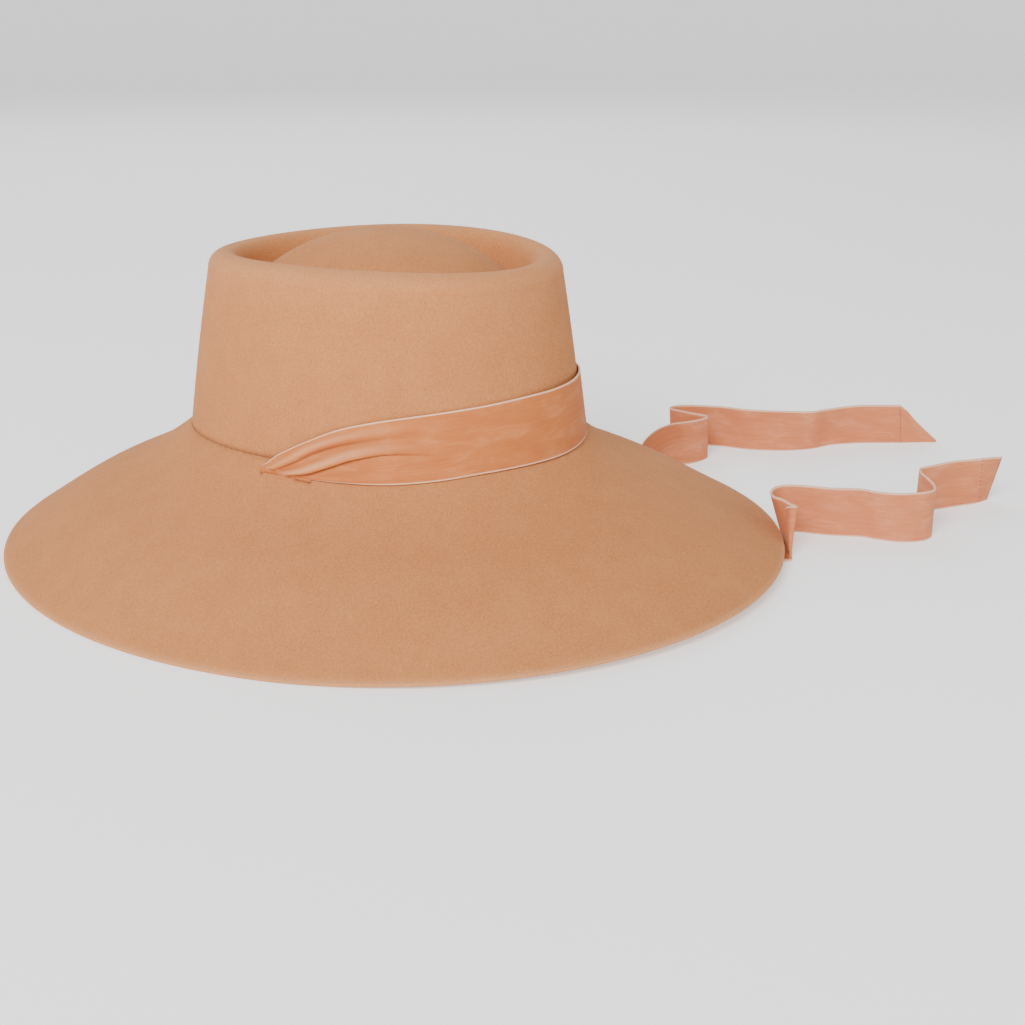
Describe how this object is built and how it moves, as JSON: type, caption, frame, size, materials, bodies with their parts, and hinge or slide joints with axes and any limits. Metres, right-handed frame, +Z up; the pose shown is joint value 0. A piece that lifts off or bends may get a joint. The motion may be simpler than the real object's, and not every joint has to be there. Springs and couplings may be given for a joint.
{
  "type": "wide-brimmed felt hat with velvet ribbon ties",
  "caption": "Wide-brimmed wool felt hat with a telescoped crown, a velvet ribbon band threaded through the brim, and long loose ribbon ties.",
  "frame": {"origin": "centre of the bounding box in plan, on the plane the hat rests on", "axes": "+Z up out of the crown, +Y along the head oval towards its bare end, +X across the head towards the far side, where both ties run out"},
  "size_m": [0.4532, 0.4448, 0.1476],
  "materials": {
    "felt": "smooth matt wool felt",
    "band_velvet": "short-pile velvet ribbon",
    "tie_velvet": "short-pile velvet ribbon"
  },
  "bodies": {
    "root": {"crown": "felt", "brim": "felt", "velvet_band": "band_velvet", "near_tie": "tie_velvet", "far_tie": "tie_velvet"}
  },
  "joints": []
}
